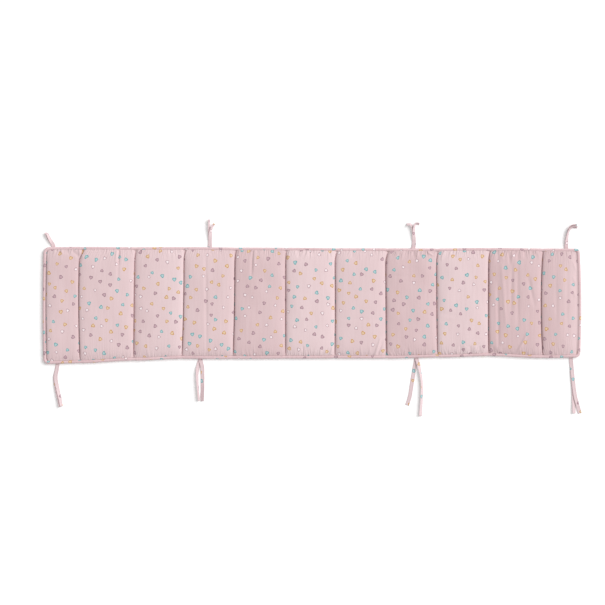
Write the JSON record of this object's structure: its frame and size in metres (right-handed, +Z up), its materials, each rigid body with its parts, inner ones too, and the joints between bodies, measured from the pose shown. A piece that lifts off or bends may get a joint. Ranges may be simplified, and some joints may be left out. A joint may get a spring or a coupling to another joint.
{
  "type": "quilted crib bumper",
  "caption": "Long padded crib bumper laid flat: a quilted strip of sewn channels with a piped edge and folded fabric ties along both long sides.",
  "frame": {"origin": "bottom centre of the box round the whole bumper, its ties included, on the surface that it lies on", "axes": "+X along the bumper's length, +Y across it towards its upper long edge, +Z up through its thickness"},
  "size_m": [1.8022, 0.6574, 0.0245],
  "materials": {
    "quilted_cotton": "soft printed cotton, pale pink with small scattered hearts",
    "piping_cotton": "the same printed cotton, rolled",
    "tie_cotton": "the same printed cotton in narrow folded strips"
  },
  "bodies": {
    "root": {"pad": "quilted_cotton", "piping": "piping_cotton", "tie_top_1": "tie_cotton", "tie_top_2": "tie_cotton", "tie_top_3": "tie_cotton", "tie_top_4": "tie_cotton", "tie_bottom_1": "tie_cotton", "tie_bottom_2": "tie_cotton", "tie_bottom_3": "tie_cotton", "tie_bottom_4": "tie_cotton"}
  },
  "joints": []
}
